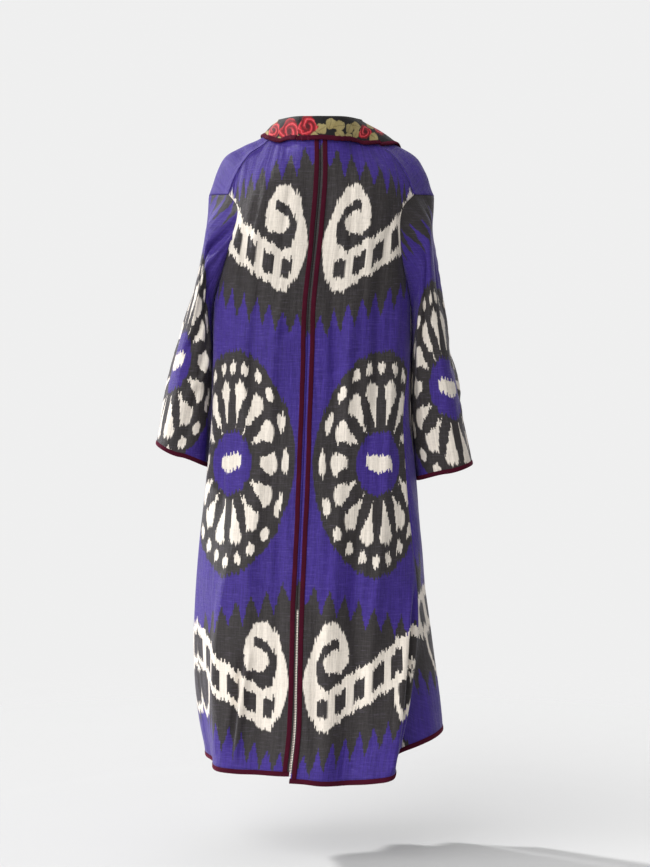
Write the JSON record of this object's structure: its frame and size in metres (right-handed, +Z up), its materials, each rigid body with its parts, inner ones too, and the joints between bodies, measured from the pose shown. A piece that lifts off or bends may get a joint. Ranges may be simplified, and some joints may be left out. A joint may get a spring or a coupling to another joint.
{
  "type": "robe",
  "caption": "Long open robe with wide sleeves and a turned-down printed collar, in ikat cloth with velvet edges, hollow and hanging as when it is worn.",
  "frame": {"origin": "foot of the neck, between the tops of the two shoulders that carry the robe", "axes": "+Z up, -Y towards the front of the robe, +X towards the wearer's left"},
  "size_m": [0.6697, 0.37, 1.3672],
  "materials": {
    "ikat": "woven cotton, purple, charcoal and ivory ikat",
    "rose_print": "printed cotton, red roses on black",
    "velvet": "maroon velvet"
  },
  "bodies": {
    "root": {"back_left": "ikat", "back_right": "ikat", "front_left": "ikat", "front_right": "ikat", "sleeve_left": "ikat", "sleeve_right": "ikat", "collar": "rose_print", "collar_binding": "velvet", "back_tape_left": "velvet", "back_tape_right": "velvet", "front_binding_left": "velvet", "front_binding_right": "velvet", "hem_binding_left": "velvet", "hem_binding_right": "velvet", "cuff_binding_left": "velvet", "cuff_binding_right": "velvet"}
  },
  "joints": []
}
